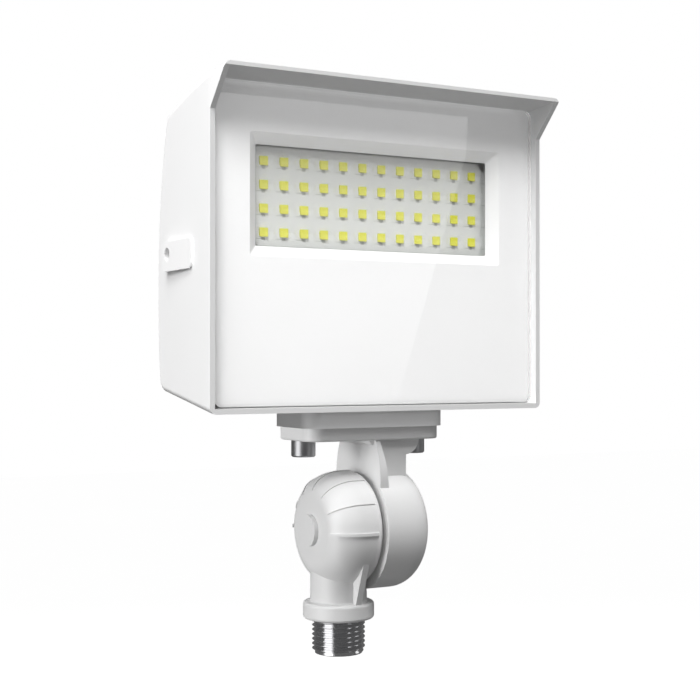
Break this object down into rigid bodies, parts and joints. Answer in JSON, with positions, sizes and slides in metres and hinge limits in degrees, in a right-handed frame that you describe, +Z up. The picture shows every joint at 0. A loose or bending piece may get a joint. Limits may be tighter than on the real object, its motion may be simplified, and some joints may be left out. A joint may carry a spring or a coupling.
{
  "type": "led flood light",
  "caption": "White LED flood light: boxy finned head with a visor over its lens window, on a knuckle that tilts above a threaded nipple.",
  "frame": {"origin": "on the nipple's axis, at the underside of the knuckle's collar", "axes": "+Z up along the nipple's axis into the lamp, -Y the way the lamp shines, +X to the right of a person who faces the lamp"},
  "size_m": [0.147, 0.0735, 0.2206],
  "materials": {
    "white_paint": "smooth white powder coat",
    "clear_glass": "polished",
    "silicone": "matte",
    "black_rubber": "matte",
    "white_plastic": "satin",
    "clear_plastic": "clear moulded lens",
    "board": "white solder mask over aluminium",
    "phosphor": "yellow phosphor",
    "grey_pad": "matte",
    "black_plastic": "moulded",
    "steel": "plain",
    "plated_steel": "bright zinc plate"
  },
  "bodies": {
    "base": {"lower_arm": "white_paint", "nipple": "plated_steel", "knuckle_seal": "black_rubber", "pivot_bolt": "steel", "pivot_washer": "steel"},
    "head": {"housing": "white_paint", "glass_gasket": "silicone", "front_glass": "clear_glass", "bezel": "white_plastic", "lens_array": "clear_plastic", "led_board": "board", "led_chips": "phosphor", "thermal_pad": "grey_pad", "board_screws": "steel", "driver_case": "black_plastic", "driver_cover": "black_plastic", "driver_screws": "steel", "upper_arm": "white_paint", "plate_seal": "silicone", "arm_bolts": "steel"}
  },
  "joints": [
    {"name": "tilt", "type": "hinge", "parent": "base", "child": "head", "pos_m": [0.0088, 0, 0.0349], "axis": [1, 0, 0], "range_deg": [-90, 90]}
  ]
}
